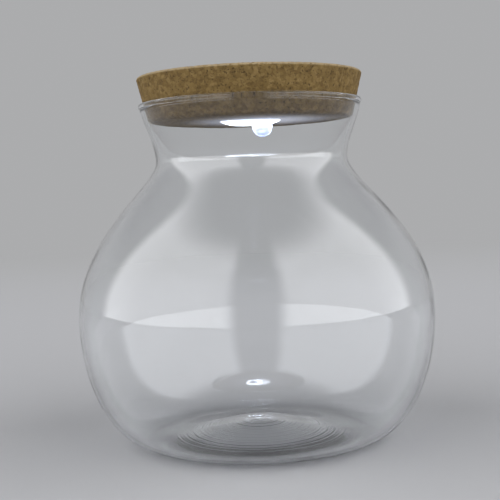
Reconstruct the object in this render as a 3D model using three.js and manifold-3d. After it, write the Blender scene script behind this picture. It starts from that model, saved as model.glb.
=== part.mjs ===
// Lighted terrarium bottle: a round glass jar with a tapered cork lid, and a battery lamp set in the lid.
// Millimetres, +Z up. The origin is on the bottle's axis, on the table that it stands on.
import * as THREE from 'three';
import { mergeVertices } from 'three/addons/utils/BufferGeometryUtils.js';
import Module from 'manifold-3d';

const wasm = await Module();
wasm.setup();

// Glass bottle
const BELLY_RADIUS = 75;
const BELLY_RISE = 53; // from the table to the widest ring
const FOOT_RADIUS = 45.5; // outer edge of the flat ring that the bottle stands on
const FOOT_RING_WIDTH = 7;
const PUNT_RISE = 5; // hollow under the pushed-up base
const FLOOR_THICKNESS = 3.2;
const NECK_RADIUS = 40.3;
const NECK_RISE = 65.3; // from the widest ring to the waist of the neck
const FLARE_WIDTH = 6.1; // how far the mouth stands out from the waist
const FLARE_RISE = 24.1; // from the waist to the top of the lip
const GLASS_WALL = 1.6;
const LIP_SWELL = 0.3; // how much the lip's bead is rounder than half the wall
const MOUTH_LEAN = 0.2; // how far the mouth leans out for each millimetre of height
const SHOULDER_PULL = 36; // how far the belly's upright line carries on into the shoulder
const WAIST_PULL = 10.5; // how far the waist's upright line reaches down into the shoulder
const FLARE_PULL = 7; // how far the waist's upright line reaches up into the flare
const MOUTH_PULL = 9; // how far the mouth's lean reaches down into the flare
const PUNT_PULL = 16; // flat run at the middle and the rim of the pushed-up base

// Cork lid
const CORK_INSERT = 8; // depth of cork below the top of the lip
const CORK_FIT = 0.25; // between cork and glass
const CORK_FLOOR = 3.6; // cork left under the lamp's wide part
const CORK_TOP_EDGE = 1.1;
const CORK_LOW_EDGE = 0.8;
const CORK_BORE_FIT = 0.3; // between cork and lamp housing

// Lamp housing and lens
const HOUSING_WALL = 1.5;
const SHOULDER_THICKNESS = 1.5;
const SHOULDER_LIP = 1.2; // the step inside the snout that holds the reflector plate
const FLANGE_RECESS = 0.4; // how far the lamp's top lies below the cork's
const FLANGE_RIM = 2.5;
const FLANGE_FLOOR = 1;
const LEDGE_WIDTH = 1.6; // ledge that carries the cap's seal
const SNOUT_RECESS = 0.6;
const SNOUT_WALL = 1.5;
const LENS_RADIUS = 12.8;
const LENS_WALL = 1;
const LENS_RIM_DROP = 0.1; // lens edge below the cork
const LENS_DROP = 1.3; // flat underside of the lens below the cork
const LENS_SLOPE = 4.4; // width of the sloped edge round the flat underside
const SPIGOT_WALL = 1.6;
const LENS_SEAL_SECTION = 0.45;
const PLATE_THICKNESS = 1;

// LED and circuit board
const LED_OFFSET = 5; // from the lamp's middle, towards +X
const LED_RADIUS = 2.5;
const LED_LENGTH = 7.2;
const LED_FLANGE_RIM = 0.4;
const LED_FLANGE_THICKNESS = 1;
const LED_ROOM = 0.8; // between LED and lens
const LEAD_RADIUS = 0.25;
const LEAD_SPACING = 2.54;
const BOARD_THICKNESS = 1.2;
const RESISTOR_LENGTH = 3.2;
const RESISTOR_WIDTH = 1.6;
const RESISTOR_HEIGHT = 0.6;
const RESISTOR_OFFSET = 1.2; // from the nearer lead

// Switch and button
const SWITCH_RADIUS = 3.2;
const SWITCH_HEIGHT = 3.8;
const PLUNGER_RADIUS = 1.5;
const PLUNGER_REST = 0.8; // plunger left above the switch when pressed
const PLUNGER_GRIP = 1; // plunger held in the switch at rest
const BUTTON_TRAVEL = 1.2;
const BUTTON_RADIUS = 5;
const BUTTON_LIP = 1.2;
const BUTTON_LIP_THICKNESS = 1;
const BUTTON_PROUD = 1;
const BUTTON_EDGE = 0.5;
const STEM_RADIUS = 2;

// Cells, tray and contacts
const CELL_COUNT = 3;
const CELL_RADIUS = 5.8;
const CELL_HEIGHT = 5.4;
const CELL_STEP_RADIUS = 4.9;
const CELL_STEP_HEIGHT = 0.7;
const CELL_EDGE = 0.4;
const POCKET_GAP = 0.25;
const TRAY_HEIGHT = 4.6;
const TRAY_WEB = 0.8; // tray between the switch and a cell
const TRAY_WALL = 0.8; // tray outside a contact clip
const SPRING_HEIGHT = 1.2;
const SPRING_THICKNESS = 0.3;
const SPRING_LENGTH = 6;
const SPRING_FOOT = 0.8;
const SPRING_WIDTH = 2.4;
const CLIP_THICKNESS = 0.4;
const CLIP_HEIGHT = 5;
const CLIP_WIDTH = 3;
const CLIP_FOOT = 1.2;
const CLIP_GAP = 0.1;
const SCREW_RADIUS = 0.8;
const SCREW_HEAD_RADIUS = 1.5;
const SCREW_HEAD_HEIGHT = 1.1;
const SCREW_BITE = 1.1; // screw held in the housing's shoulder
const SCREW_FIT = 0.15;

// Battery cap
const CAP_THICKNESS = 1.6;
const SEAL_THICKNESS = 0.8;
const SKIRT_WALL = 1.2;
const TAB_REACH = 1.6;
const TAB_THICKNESS = 1.4;
const TAB_SPREAD = 50; // degrees
const LUG_THICKNESS = 1.2;
const LUG_SPREAD = 40; // degrees
const GRIP_INNER_RADIUS = 9;
const GRIP_OUTER_RADIUS = 14;
const GRIP_SPREAD = 50; // degrees
const GRIP_DEPTH = 0.7;
const PAD_ROOM = 0.5; // between the pad and the button's lip

// Clearances inside the lamp
const FIT_GAP = 0.2; // beside a piece that moves or slips in
const SEAT_GAP = 0.05; // under a piece that rests on another

// Fineness of the round faces
const BOTTLE_SIDES = 48;
const LAMP_SIDES = 28;
const SMALL_SIDES = 16;
const WIRE_SIDES = 8;

// Heights of the bottle and, going up, of the lid
const neckZ = BELLY_RISE + NECK_RISE;
const bottleTop = neckZ + FLARE_RISE;
const lipBead = GLASS_WALL / 2 + LIP_SWELL;
const lipZ = bottleTop - lipBead;
const corkBottom = bottleTop - CORK_INSERT;
const snoutBottom = corkBottom + SNOUT_RECESS;
const corkStep = corkBottom + CORK_FLOOR;
const shoulderUnder = corkStep + SEAT_GAP;
const shoulderTop = shoulderUnder + SHOULDER_THICKNESS;
const boardUnder = shoulderTop + SEAT_GAP;
const boardTop = boardUnder + BOARD_THICKNESS;
const partUnder = boardTop + SEAT_GAP; // what stands on the board
const cellUnder = partUnder + SPRING_HEIGHT + SEAT_GAP;
const cellTop = cellUnder + CELL_HEIGHT;
const lugUnder = cellTop + FIT_GAP;
const tabUnder = lugUnder + LUG_THICKNESS + FIT_GAP;
const ledge = tabUnder + TAB_THICKNESS;
const sealUnder = ledge + SEAT_GAP;
const capUnder = sealUnder + SEAL_THICKNESS + SEAT_GAP;
const capTop = capUnder + CAP_THICKNESS;
const flangeUnder = ledge - FLANGE_FLOOR;
const corkTop = capTop + FLANGE_RECESS;
const plateTop = shoulderUnder - SEAT_GAP;
const plateUnder = plateTop - PLATE_THICKNESS;
const ledTop = plateUnder - SEAT_GAP;
const ledTip = ledTop - LED_LENGTH;
const trayTop = partUnder + TRAY_HEIGHT;
const switchTop = partUnder + SWITCH_HEIGHT;
const plungerTop = switchTop + PLUNGER_REST + BUTTON_TRAVEL;

// Radii
const mouthRadius = NECK_RADIUS + FLARE_WIDTH;
const lipRadius = mouthRadius - GLASS_WALL + lipBead;
const snoutInner = LENS_RADIUS - SNOUT_WALL;
const pocketRadius = CELL_RADIUS + POCKET_GAP;
const cellCircle = SWITCH_RADIUS + FIT_GAP + TRAY_WEB + pocketRadius;
const clipInner = CELL_RADIUS + CLIP_GAP;
const clipSlot = clipInner + CLIP_THICKNESS + FIT_GAP;
const trayRadius = cellCircle + clipSlot + TRAY_WALL;
const cupInner = trayRadius + FIT_GAP;
const cupOuter = cupInner + HOUSING_WALL;
const capSeat = cupInner + LEDGE_WIDTH;
const flangeRadius = Math.max(capSeat, cupOuter) + FLANGE_RIM;
const tabInner = cupInner - TAB_REACH;
const skirtOuter = tabInner - FIT_GAP;
const skirtInner = skirtOuter - SKIRT_WALL;
const screwCircle = (LENS_RADIUS + cupInner) / 2;
const buttonLip = BUTTON_RADIUS + BUTTON_LIP;

// Finishes
const finish = {
  glass: { color: 0xe8eef2, roughness: 0.03, metalness: 0, transparent: true, opacity: 0.35 },
  cork: { color: 0x7a643c, roughness: 0.9, metalness: 0 },
  whitePlastic: { color: 0xe9e8e3, roughness: 0.5, metalness: 0 },
  clearPlastic: { color: 0xeaf2ff, roughness: 0.15, metalness: 0, transparent: true, opacity: 0.6 },
  led: { color: 0xeef4ff, emissive: 0xcfe0ff, roughness: 0.1, metalness: 0 },
  rubber: { color: 0x2b2b2d, roughness: 0.8, metalness: 0 },
  board: { color: 0x1f6b41, roughness: 0.55, metalness: 0 },
  blackPlastic: { color: 0x1d1d20, roughness: 0.5, metalness: 0 },
  steel: { color: 0xc4c6c8, roughness: 0.3, metalness: 1 },
  nickel: { color: 0xb9b6ac, roughness: 0.35, metalness: 1 },
  foam: { color: 0x4a4a4e, roughness: 1, metalness: 0 },
};

const v2 = (x, y) => new THREE.Vector2(x, y);
const radians = THREE.MathUtils.degToRad;

// Points along a curve, moved to its left by inset. The left of a wall drawn upwards is its inside.
function sample(curve, steps, inset = 0) {
  return Array.from({ length: steps + 1 }, (_, i) => {
    const tangent = curve.getTangent(i / steps);
    return curve.getPoint(i / steps).addScaledVector(v2(-tangent.y, tangent.x), inset);
  });
}

// A solid turned about Z. The outline holds (radius, height) points, anticlockwise, and either starts and ends
// on the axis or closes on itself.
function turned(outline, sides = LAMP_SIDES) {
  const points = outline.map((p) => (p.isVector2 ? p : v2(...p)));
  const onAxis = points[0].x === 0;
  const geometry = new THREE.LatheGeometry(onAxis ? points : [...points, points[0]], sides);
  return geometry.rotateX(Math.PI / 2);
}

// A flat plate with its outline in the XY plane.
function plate(shape, bottom, thickness, sides = LAMP_SIDES) {
  const options = { depth: thickness, bevelEnabled: false, curveSegments: sides / 2 };
  return new THREE.ExtrudeGeometry(shape, options).translate(0, 0, bottom);
}

// A strip whose side view is a shape in (radius, height), centred on the XZ plane.
function strip(shape, width) {
  const options = { depth: width, bevelEnabled: false, curveSegments: 6 };
  return new THREE.ExtrudeGeometry(shape, options).rotateX(Math.PI / 2).translate(0, width / 2, 0);
}

function circle(x, y, radius) {
  return new THREE.Path().absarc(x, y, radius, 0, 2 * Math.PI, true);
}

function discShape(radius) {
  return new THREE.Shape().absarc(0, 0, radius, 0, 2 * Math.PI, false);
}

// A block of a ring between two radii, centred on an angle in degrees.
function ringBlock(inner, outer, angle, spread, bottom, thickness) {
  const from = radians(angle - spread / 2);
  const to = radians(angle + spread / 2);
  const shape = new THREE.Shape();
  shape.absarc(0, 0, outer, from, to, false);
  shape.absarc(0, 0, inner, to, from, true);
  return plate(shape, bottom, thickness, SMALL_SIDES);
}

function solidOf(geometry) {
  const bare = geometry.clone();
  bare.deleteAttribute('normal');
  bare.deleteAttribute('uv');
  const merged = mergeVertices(bare);
  const mesh = new wasm.Mesh({
    numProp: 3,
    vertProperties: new Float32Array(merged.attributes.position.array),
    triVerts: new Uint32Array(merged.index.array),
  });
  return new wasm.Manifold(mesh);
}

// One geometry with others joined to it and others cut from it.
function shaped(base, joined, cut) {
  let solid = solidOf(base);
  for (const geometry of joined) solid = solid.add(solidOf(geometry));
  for (const geometry of cut) solid = solid.subtract(solidOf(geometry));
  const mesh = solid.getMesh();
  const geometry = new THREE.BufferGeometry();
  geometry.setAttribute('position', new THREE.BufferAttribute(mesh.vertProperties, 3));
  geometry.setIndex(new THREE.BufferAttribute(mesh.triVerts, 1));
  geometry.computeVertexNormals();
  return geometry;
}

function pin(radius, bottom, top, sides = SMALL_SIDES) {
  return turned([[0, bottom], [radius, bottom], [radius, top], [0, top]], sides);
}

// Angles, in degrees, of the cells, and of the screws that stand between them
const cellAngles = Array.from({ length: CELL_COUNT }, (_, i) => (i * 360) / CELL_COUNT);
const screwAngles = cellAngles.map((angle) => angle + 180 / CELL_COUNT);
const onCircle = (radius, angle) => v2(radius * Math.cos(radians(angle)), radius * Math.sin(radians(angle)));
const leadXs = [LED_OFFSET - LEAD_SPACING / 2, LED_OFFSET + LEAD_SPACING / 2];

// The bottle's wall: a rounded corner from the foot to the belly, a shoulder drawn in to the waist, and a flare.
const lipStart = -Math.acos((mouthRadius - lipRadius) / lipBead);
const flareTop = lipZ + lipBead * Math.sin(lipStart);
const corner = new THREE.EllipseCurve(
  FOOT_RADIUS, BELLY_RISE, BELLY_RADIUS - FOOT_RADIUS, BELLY_RISE, -Math.PI / 2, 0);
const shoulder = new THREE.CubicBezierCurve(
  v2(BELLY_RADIUS, BELLY_RISE), v2(BELLY_RADIUS, BELLY_RISE + SHOULDER_PULL),
  v2(NECK_RADIUS, neckZ - WAIST_PULL), v2(NECK_RADIUS, neckZ));
const flare = new THREE.CubicBezierCurve(
  v2(NECK_RADIUS, neckZ), v2(NECK_RADIUS, neckZ + FLARE_PULL),
  v2(mouthRadius - MOUTH_LEAN * MOUTH_PULL, flareTop - MOUTH_PULL), v2(mouthRadius, flareTop));

function wallPoints(inset) {
  return [
    ...sample(corner, 8, inset),
    ...sample(shoulder, 9, inset).slice(1),
    ...sample(flare, 5, inset).slice(1),
  ];
}

function bottleGeometry() {
  const ringInner = FOOT_RADIUS - FOOT_RING_WIDTH;
  const floorTop = PUNT_RISE + FLOOR_THICKNESS;
  const punt = new THREE.CubicBezierCurve(
    v2(0, PUNT_RISE), v2(PUNT_PULL, PUNT_RISE), v2(ringInner - PUNT_PULL, 0), v2(ringInner, 0));
  const lip = new THREE.EllipseCurve(lipRadius, lipZ, lipBead, lipBead, lipStart, Math.PI);
  const floor = new THREE.CubicBezierCurve(
    v2(FOOT_RADIUS, GLASS_WALL), v2(FOOT_RADIUS - PUNT_PULL, GLASS_WALL), v2(PUNT_PULL, floorTop), v2(0, floorTop));
  const outline = [
    ...sample(punt, 4),
    ...wallPoints(0),
    ...sample(lip, 5).slice(1),
    ...wallPoints(GLASS_WALL).reverse(),
    ...sample(floor, 4).slice(1),
  ];
  outline[0].x = 0;
  outline[outline.length - 1].x = 0;
  return turned(outline, BOTTLE_SIDES);
}

// Inside radius of the flare at a height.
function mouthInside(z) {
  const points = sample(flare, 80, GLASS_WALL);
  const above = points.findIndex((p) => p.y >= z);
  const [low, high] = [points[above - 1], points[above]];
  return THREE.MathUtils.mapLinear(z, low.y, high.y, low.x, high.x);
}

function corkGeometry() {
  const lowRadius = mouthInside(corkBottom) - CORK_FIT;
  const seatRadius = lipRadius - lipBead - CORK_FIT;
  const lean = (seatRadius - lowRadius) / (lipZ - corkBottom);
  const radiusAt = (z) => lowRadius + lean * (z - corkBottom);
  const edgeRadius = radiusAt(corkTop - CORK_TOP_EDGE) - CORK_TOP_EDGE;
  const edge = new THREE.EllipseCurve(
    edgeRadius, corkTop - CORK_TOP_EDGE, CORK_TOP_EDGE, CORK_TOP_EDGE, 0, Math.PI / 2);
  const boreLow = LENS_RADIUS + CORK_BORE_FIT;
  const boreHigh = cupOuter + CORK_BORE_FIT;
  const recess = flangeRadius + CORK_BORE_FIT;
  const recessFloor = flangeUnder - SEAT_GAP;
  const outline = [
    [boreLow, corkBottom],
    [radiusAt(corkBottom) - CORK_LOW_EDGE, corkBottom],
    [radiusAt(corkBottom + CORK_LOW_EDGE), corkBottom + CORK_LOW_EDGE],
    [radiusAt(lipZ), lipZ],
    ...sample(edge, 4),
    [recess, corkTop],
    [recess, recessFloor],
    [boreHigh, recessFloor],
    [boreHigh, corkStep],
    [boreLow, corkStep],
  ];
  return turned(outline, BOTTLE_SIDES);
}

// A stepped cup: a narrow snout for the lens, a shoulder for the board, and a flange with inward bayonet tabs.
function housingGeometry() {
  const cup = turned([
    [snoutInner, snoutBottom],
    [LENS_RADIUS, snoutBottom],
    [LENS_RADIUS, shoulderUnder],
    [cupOuter, shoulderUnder],
    [cupOuter, flangeUnder],
    [flangeRadius, flangeUnder],
    [flangeRadius, capTop],
    [capSeat, capTop],
    [capSeat, ledge],
    [cupInner, ledge],
    [cupInner, shoulderTop],
    [snoutInner - SHOULDER_LIP, shoulderTop],
    [snoutInner - SHOULDER_LIP, shoulderUnder],
    [snoutInner, shoulderUnder],
  ]);
  const tabs = cellAngles.map((angle) =>
    ringBlock(tabInner, cupInner + HOUSING_WALL / 2, angle, TAB_SPREAD, tabUnder, TAB_THICKNESS));
  const holes = screwAngles.map((angle) => {
    const at = onCircle(screwCircle, angle);
    const depth = SCREW_BITE + FIT_GAP;
    return pin(SCREW_RADIUS + SCREW_FIT, shoulderTop - depth, shoulderTop + depth, WIRE_SIDES)
      .translate(at.x, at.y, 0);
  });
  return shaped(cup, tabs, holes);
}

const rimTop = snoutBottom - SEAT_GAP;
const spigotTop = plateUnder - SEAT_GAP;
const sealGroove = snoutInner - 2 * (LENS_SEAL_SECTION + SEAT_GAP);
const sealZ = (rimTop + spigotTop) / 2;

// A peg with its round end down. The middle of that end lies at endZ.
function peg(radius, endZ, top) {
  const end = new THREE.EllipseCurve(0, endZ, radius, radius, -Math.PI / 2, 0);
  const outline = [...sample(end, 6), [radius, top], [0, top]];
  outline[0].x = 0;
  return turned(outline);
}

// A clear cup with a flat underside, a hollow nub for the LED, and a spigot with a seal groove that plugs into
// the snout.
function lensGeometry() {
  const flatZ = corkBottom - LENS_DROP;
  const edgeZ = corkBottom - LENS_RIM_DROP;
  const spigot = snoutInner - FIT_GAP;
  const spigotInner = spigot - SPIGOT_WALL;
  const grooveHalf = LENS_SEAL_SECTION + FIT_GAP;
  const cup = turned([
    [0, flatZ],
    [LENS_RADIUS - LENS_SLOPE, flatZ],
    [LENS_RADIUS, edgeZ],
    [LENS_RADIUS, rimTop],
    [spigot, rimTop],
    [spigot, sealZ - grooveHalf],
    [sealGroove, sealZ - grooveHalf],
    [sealGroove, sealZ + grooveHalf],
    [spigot, sealZ + grooveHalf],
    [spigot, spigotTop],
    [spigotInner, spigotTop],
    [spigotInner, flatZ + LENS_WALL],
    [0, flatZ + LENS_WALL],
  ]);
  const hollowRadius = LED_RADIUS + LED_ROOM;
  const nubZ = ledTip - LED_ROOM + hollowRadius; // middle of the nub's round end
  const nub = peg(hollowRadius + LENS_WALL, nubZ, flatZ + LENS_WALL / 2).translate(LED_OFFSET, 0, 0);
  const hollow = peg(hollowRadius, nubZ, flatZ + 2 * LENS_WALL).translate(LED_OFFSET, 0, 0);
  return shaped(cup, [nub], [hollow]);
}

function lensSealGeometry() {
  const middle = sealGroove + SEAT_GAP + LENS_SEAL_SECTION;
  const section = new THREE.EllipseCurve(middle, sealZ, LENS_SEAL_SECTION, LENS_SEAL_SECTION, 0, 2 * Math.PI);
  return turned(sample(section, 8).slice(0, -1));
}

function reflectorGeometry() {
  const shape = discShape(snoutInner - FIT_GAP);
  shape.holes = leadXs.map((x) => circle(x, 0, LEAD_RADIUS + SCREW_FIT));
  return plate(shape, plateUnder, PLATE_THICKNESS);
}

function ledGeometry() {
  const dome = new THREE.EllipseCurve(0, ledTip + LED_RADIUS, LED_RADIUS, LED_RADIUS, -Math.PI / 2, 0);
  const flangeRadiusLed = LED_RADIUS + LED_FLANGE_RIM;
  const flangeZ = ledTop - LED_FLANGE_THICKNESS;
  const outline = [
    ...sample(dome, 5),
    [LED_RADIUS, flangeZ],
    [flangeRadiusLed, flangeZ],
    [flangeRadiusLed, ledTop],
    [0, ledTop],
  ];
  outline[0].x = 0;
  return turned(outline, SMALL_SIDES);
}

function boardGeometry() {
  const shape = discShape(trayRadius);
  const leadHoles = leadXs.map((x) => circle(x, 0, LEAD_RADIUS + SCREW_FIT));
  const screwHoles = screwAngles.map((angle) => {
    const at = onCircle(screwCircle, angle);
    return circle(at.x, at.y, SCREW_RADIUS + SCREW_FIT);
  });
  shape.holes = [...leadHoles, ...screwHoles];
  return plate(shape, boardUnder, BOARD_THICKNESS);
}

// A round pocket with a slot on its outer side for the contact clip.
function pocketPath(angle) {
  const half = CLIP_WIDTH / 2 + FIT_GAP;
  const turn = Math.asin(half / pocketRadius);
  const arc = new THREE.EllipseCurve(cellCircle, 0, pocketRadius, pocketRadius, turn, 2 * Math.PI - turn);
  const slot = [v2(cellCircle + clipSlot, -half), v2(cellCircle + clipSlot, half)];
  const points = [...arc.getPoints(LAMP_SIDES), ...slot];
  return new THREE.Path(points.map((p) => p.rotateAround(v2(0, 0), radians(angle))));
}

function trayGeometry() {
  const shape = discShape(trayRadius);
  const screwHoles = screwAngles.map((angle) => {
    const at = onCircle(screwCircle, angle);
    return circle(at.x, at.y, SCREW_RADIUS + SCREW_FIT);
  });
  shape.holes = [circle(0, 0, SWITCH_RADIUS + FIT_GAP), ...cellAngles.map(pocketPath), ...screwHoles];
  return plate(shape, partUnder, TRAY_HEIGHT);
}

// A button cell, its narrower negative face down.
function cellGeometry() {
  const shelf = cellUnder + CELL_STEP_HEIGHT;
  return turned([
    [0, cellUnder],
    [CELL_STEP_RADIUS, cellUnder],
    [CELL_STEP_RADIUS, shelf],
    [CELL_RADIUS, shelf],
    [CELL_RADIUS, cellTop - CELL_EDGE],
    [CELL_RADIUS - CELL_EDGE, cellTop],
    [0, cellTop],
  ], SMALL_SIDES);
}

// An arched leaf that presses on the cell's underside.
function springGeometry() {
  const half = SPRING_LENGTH / 2;
  const foot = half - SPRING_FOOT;
  const rise = 2 * (SPRING_HEIGHT - SPRING_THICKNESS);
  const shape = new THREE.Shape();
  shape.moveTo(-half, 0);
  shape.lineTo(-foot, 0);
  shape.quadraticCurveTo(0, rise, foot, 0);
  shape.lineTo(half, 0);
  shape.lineTo(half, SPRING_THICKNESS);
  shape.lineTo(foot, SPRING_THICKNESS);
  shape.quadraticCurveTo(0, SPRING_THICKNESS + rise, -foot, SPRING_THICKNESS);
  shape.lineTo(-half, SPRING_THICKNESS);
  return strip(shape, SPRING_WIDTH).rotateZ(Math.PI / 2);
}

// An angle strip: a foot on the board, and a leaf up the side of the cell's can.
function clipGeometry() {
  const shape = new THREE.Shape([
    v2(clipInner - CLIP_FOOT, 0),
    v2(clipInner + CLIP_THICKNESS, 0),
    v2(clipInner + CLIP_THICKNESS, CLIP_HEIGHT),
    v2(clipInner, CLIP_HEIGHT),
    v2(clipInner, CLIP_THICKNESS),
    v2(clipInner - CLIP_FOOT, CLIP_THICKNESS),
  ]);
  return strip(shape, CLIP_WIDTH);
}

function screwGeometry() {
  const headUnder = trayTop + SEAT_GAP;
  return turned([
    [0, shoulderTop - SCREW_BITE],
    [SCREW_RADIUS, shoulderTop - SCREW_BITE],
    [SCREW_RADIUS, headUnder],
    [SCREW_HEAD_RADIUS, headUnder],
    [SCREW_HEAD_RADIUS, headUnder + SCREW_HEAD_HEIGHT],
    [0, headUnder + SCREW_HEAD_HEIGHT],
  ], WIRE_SIDES);
}

const plungerBottom = switchTop - PLUNGER_GRIP;

// A round switch case with a blind bore for its plunger.
function switchGeometry() {
  const bore = PLUNGER_RADIUS + SCREW_FIT;
  const boreFloor = plungerBottom - BUTTON_TRAVEL - FIT_GAP;
  return turned([
    [0, partUnder],
    [SWITCH_RADIUS, partUnder],
    [SWITCH_RADIUS, switchTop],
    [bore, switchTop],
    [bore, boreFloor],
    [0, boreFloor],
  ], SMALL_SIDES);
}

// A disc with a hole for the button, finger recesses, and a skirt with lugs that lock under the tabs.
function capGeometry() {
  const bore = BUTTON_RADIUS + FIT_GAP;
  const disc = turned([
    [bore, capUnder],
    [skirtInner, capUnder],
    [skirtInner, lugUnder],
    [skirtOuter, lugUnder],
    [skirtOuter, capUnder],
    [capSeat - FIT_GAP, capUnder],
    [capSeat - FIT_GAP, capTop],
    [bore, capTop],
  ]);
  const lugInner = skirtOuter - SKIRT_WALL / 2;
  const lugs = cellAngles.map((angle) =>
    ringBlock(lugInner, cupInner - FIT_GAP, angle, LUG_SPREAD, lugUnder, LUG_THICKNESS));
  const grips = [0, 180].map((angle) =>
    ringBlock(GRIP_INNER_RADIUS, GRIP_OUTER_RADIUS, angle, GRIP_SPREAD, capTop - GRIP_DEPTH, 2 * GRIP_DEPTH));
  return shaped(disc, lugs, grips);
}

function ringGeometry(inner, outer, bottom, top) {
  return turned([[inner, bottom], [outer, bottom], [outer, top], [inner, top]]);
}

function buttonGeometry() {
  const lipTop = capUnder - SEAT_GAP;
  const lipUnder = lipTop - BUTTON_LIP_THICKNESS;
  const top = capTop + BUTTON_PROUD;
  const stemEnd = plungerTop + SEAT_GAP;
  return turned([
    [0, stemEnd],
    [STEM_RADIUS, stemEnd],
    [STEM_RADIUS, lipUnder],
    [buttonLip, lipUnder],
    [buttonLip, lipTop],
    [BUTTON_RADIUS, lipTop],
    [BUTTON_RADIUS, top - BUTTON_EDGE],
    [BUTTON_RADIUS - BUTTON_EDGE, top],
    [0, top],
  ]);
}

const bottle = new THREE.Group();

function addPiece(name, geometry, look) {
  const mesh = new THREE.Mesh(geometry, new THREE.MeshStandardMaterial(look));
  mesh.name = name;
  bottle.add(mesh);
  return mesh;
}

addPiece('glass_bottle', bottleGeometry(), finish.glass);
addPiece('cork_lid', corkGeometry(), finish.cork);
addPiece('lamp_housing', housingGeometry(), finish.whitePlastic);
addPiece('lens_cup', lensGeometry(), finish.clearPlastic);
addPiece('lens_seal', lensSealGeometry(), finish.rubber);
addPiece('reflector_plate', reflectorGeometry(), finish.whitePlastic);
addPiece('led_bulb', ledGeometry(), finish.led).position.x = LED_OFFSET;
['led_lead_anode', 'led_lead_cathode'].forEach((name, i) => {
  const lead = addPiece(name, pin(LEAD_RADIUS, ledTop + SEAT_GAP, boardTop - SEAT_GAP, WIRE_SIDES), finish.nickel);
  lead.position.x = leadXs[i];
});
addPiece('led_board', boardGeometry(), finish.board);
const resistor = addPiece(
  'resistor', new THREE.BoxGeometry(RESISTOR_LENGTH, RESISTOR_WIDTH, RESISTOR_HEIGHT), finish.blackPlastic);
resistor.position.set(
  leadXs[0] - RESISTOR_OFFSET - RESISTOR_LENGTH / 2, 0, boardUnder - SEAT_GAP - RESISTOR_HEIGHT / 2);
addPiece('switch_body', switchGeometry(), finish.blackPlastic);
addPiece('switch_plunger', pin(PLUNGER_RADIUS, plungerBottom, plungerTop), finish.whitePlastic);
addPiece('cell_tray', trayGeometry(), finish.blackPlastic);

cellAngles.forEach((angle, i) => {
  const at = onCircle(cellCircle, angle);
  addPiece(`button_cell_${i + 1}`, cellGeometry(), finish.steel).position.set(at.x, at.y, 0);
  const spring = addPiece(`cell_spring_${i + 1}`, springGeometry(), finish.nickel);
  spring.rotation.z = radians(angle);
  spring.position.set(at.x, at.y, partUnder);
  const clip = addPiece(`cell_clip_${i + 1}`, clipGeometry(), finish.nickel);
  clip.rotation.z = radians(angle);
  clip.position.set(at.x, at.y, partUnder);
});

screwAngles.forEach((angle, i) => {
  const at = onCircle(screwCircle, angle);
  addPiece(`tray_screw_${i + 1}`, screwGeometry(), finish.steel).position.set(at.x, at.y, 0);
});

addPiece('battery_cap', capGeometry(), finish.whitePlastic);
addPiece('cap_pad', ringGeometry(buttonLip + PAD_ROOM, skirtInner - FIT_GAP, cellTop + SEAT_GAP, capUnder - SEAT_GAP),
  finish.foam);
addPiece('cap_seal', ringGeometry(cupInner + FIT_GAP, capSeat - FIT_GAP, sealUnder, sealUnder + SEAL_THICKNESS),
  finish.rubber);
addPiece('push_button', buttonGeometry(), finish.whitePlastic);

export default bottle;
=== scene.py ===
# Lighted terrarium bottle: a round clear bottle, its pressed-cork lid and the small lamp that the lid holds.
# Metres, +Z up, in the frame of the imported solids.
import math

import bmesh
import bpy
from mathutils import Matrix, Vector


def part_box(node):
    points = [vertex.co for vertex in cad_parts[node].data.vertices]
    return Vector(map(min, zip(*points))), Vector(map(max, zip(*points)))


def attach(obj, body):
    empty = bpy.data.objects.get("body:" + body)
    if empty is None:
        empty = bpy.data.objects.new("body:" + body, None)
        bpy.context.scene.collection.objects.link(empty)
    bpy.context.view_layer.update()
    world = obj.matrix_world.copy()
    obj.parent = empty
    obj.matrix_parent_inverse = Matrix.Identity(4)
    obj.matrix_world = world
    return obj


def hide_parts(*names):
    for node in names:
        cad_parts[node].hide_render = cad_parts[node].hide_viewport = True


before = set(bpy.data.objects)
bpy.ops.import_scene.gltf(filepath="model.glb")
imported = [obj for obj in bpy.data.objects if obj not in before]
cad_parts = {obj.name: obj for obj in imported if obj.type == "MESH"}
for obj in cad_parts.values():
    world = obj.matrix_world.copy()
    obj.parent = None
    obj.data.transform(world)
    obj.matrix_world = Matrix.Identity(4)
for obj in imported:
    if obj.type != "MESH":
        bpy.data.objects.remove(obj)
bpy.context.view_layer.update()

MM = 0.001

# Glass bottle
BELLY_RISE = 53 * MM  # from the table to the widest ring
FOOT_RADIUS = 45.5 * MM
FOOT_RING_WIDTH = 7 * MM
PUNT_RISE = 5 * MM  # hollow under the pushed-up base
FLOOR_THICKNESS = 3.2 * MM
NECK_RADIUS = 40.3 * MM
NECK_HEIGHT = 118.3 * MM
MOUTH_RADIUS = 46.4 * MM
MOUTH_LEAN = 0.2  # outward, for each metre of height
RIM_TOP = 142.4 * MM
GLASS_WALL = 1.6 * MM
LIP_BEAD = 1.1 * MM
RIPPLE_PITCHES = (1.5 * MM, 2.6 * MM)  # of the fine rings under the floor
RIPPLE_DEPTH = 0.009 * MM

# Reach of the handles of the bottle's curves
SHOULDER_PULL = 36 * MM
WAIST_PULL = 10.5 * MM
FLARE_PULL = 7 * MM
MOUTH_PULL = 9 * MM
PUNT_PULL = 16 * MM

# Cork lid
CORK_LEAN = 0.244  # outward, for each metre of height
CORK_TOP_EDGE = 1.1 * MM
CORK_LOW_EDGE = 0.8 * MM
CORK_BORE_FIT = 0.3 * MM  # between cork and lamp
GRANULE = 1.5 * MM
CREVICE_DEPTH = 0.12 * MM
CREVICE_SPAN = (0.0, 0.3)  # values of the pattern from its full depth to none
PIT = 1.1 * MM
PIT_DEPTH = 0.4 * MM
PIT_SPAN = (0.28, 0.42)

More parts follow.
